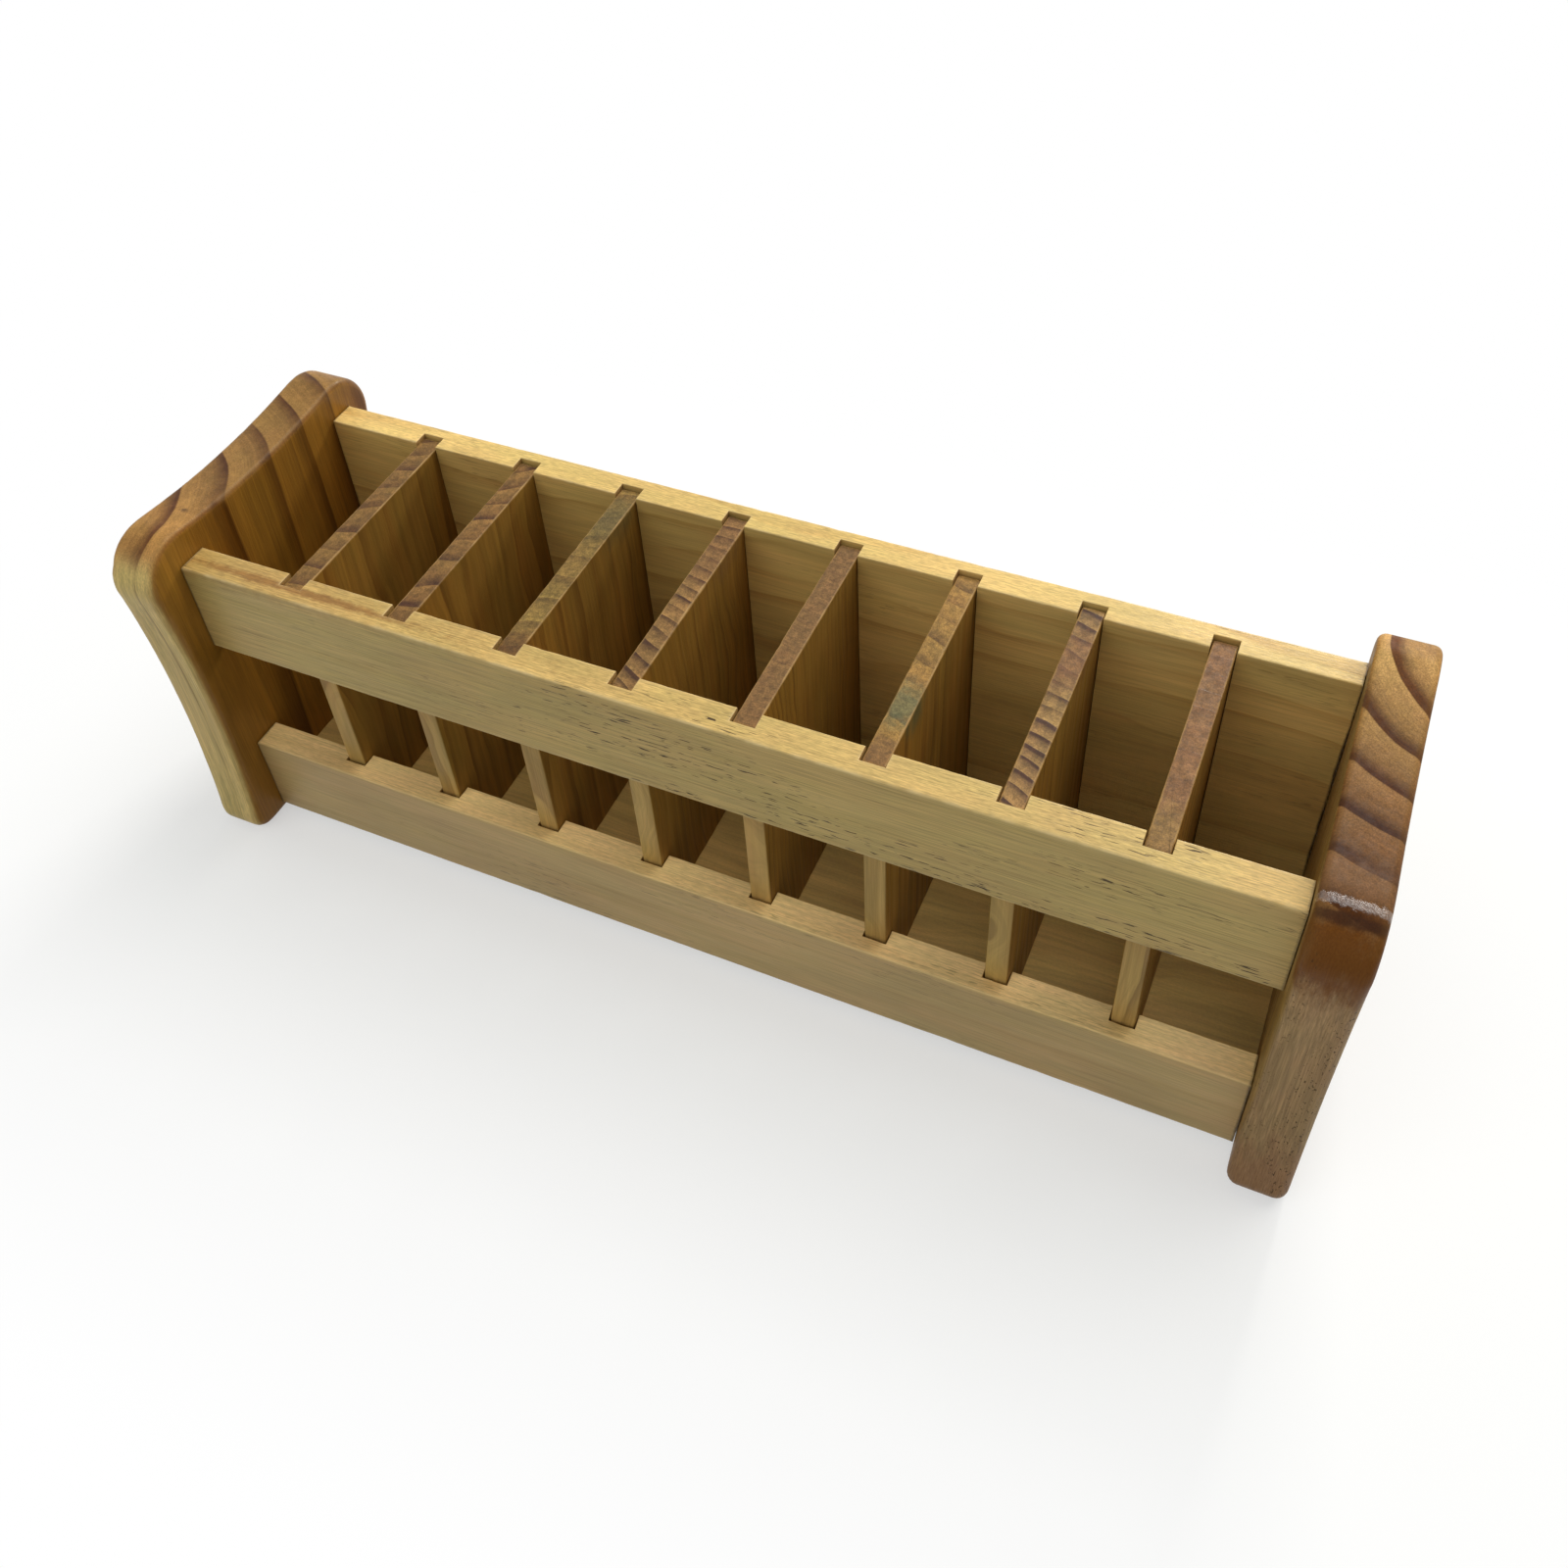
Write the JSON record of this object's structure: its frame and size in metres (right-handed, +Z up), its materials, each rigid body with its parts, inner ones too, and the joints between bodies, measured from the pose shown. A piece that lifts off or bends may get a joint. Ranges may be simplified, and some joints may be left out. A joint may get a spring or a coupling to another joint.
{
  "type": "desk rack",
  "caption": "Low wooden desk rack with shaped end panels, two front rails, a full back and lift-out dividers between open-topped bays.",
  "frame": {"origin": "centre of the footprint, at the underside of the feet", "axes": "+X along the rack to the right end, +Y from the open front to the back, +Z up"},
  "size_m": [0.396, 0.118, 0.137],
  "materials": {
    "end": "satin varnish over pine",
    "rail": "satin varnish over pine",
    "back": "thin varnish over pine",
    "base": "thin varnish over pine",
    "divider": "thin varnish over pine",
    "dowel": "bare wood"
  },
  "bodies": {
    "rack": {"left_end_panel": "end", "right_end_panel": "end", "front_upper_rail": "rail", "front_lower_rail": "rail", "back_panel": "back", "base_board": "base", "left_upper_dowel_1": "dowel", "left_upper_dowel_2": "dowel", "left_lower_dowel_1": "dowel", "left_lower_dowel_2": "dowel", "left_back_dowel_1": "dowel", "left_back_dowel_2": "dowel", "left_back_dowel_3": "dowel", "right_upper_dowel_1": "dowel", "right_upper_dowel_2": "dowel", "right_lower_dowel_1": "dowel", "right_lower_dowel_2": "dowel", "right_back_dowel_1": "dowel", "right_back_dowel_2": "dowel", "right_back_dowel_3": "dowel"},
    "divider_1": {"divider_1": "divider"},
    "divider_2": {"divider_2": "divider"},
    "divider_3": {"divider_3": "divider"},
    "divider_4": {"divider_4": "divider"},
    "divider_5": {"divider_5": "divider"},
    "divider_6": {"divider_6": "divider"},
    "divider_7": {"divider_7": "divider"},
    "divider_8": {"divider_8": "divider"}
  },
  "joints": [
    {"name": "divider_1_lift", "type": "slide", "parent": "rack", "child": "divider_1", "axis": [0, 0, 1], "range_m": [0, 0.1]},
    {"name": "divider_2_lift", "type": "slide", "parent": "rack", "child": "divider_2", "axis": [0, 0, 1], "range_m": [0, 0.1]},
    {"name": "divider_3_lift", "type": "slide", "parent": "rack", "child": "divider_3", "axis": [0, 0, 1], "range_m": [0, 0.1]},
    {"name": "divider_4_lift", "type": "slide", "parent": "rack", "child": "divider_4", "axis": [0, 0, 1], "range_m": [0, 0.1]},
    {"name": "divider_5_lift", "type": "slide", "parent": "rack", "child": "divider_5", "axis": [0, 0, 1], "range_m": [0, 0.1]},
    {"name": "divider_6_lift", "type": "slide", "parent": "rack", "child": "divider_6", "axis": [0, 0, 1], "range_m": [0, 0.1]},
    {"name": "divider_7_lift", "type": "slide", "parent": "rack", "child": "divider_7", "axis": [0, 0, 1], "range_m": [0, 0.1]},
    {"name": "divider_8_lift", "type": "slide", "parent": "rack", "child": "divider_8", "axis": [0, 0, 1], "range_m": [0, 0.1]}
  ]
}
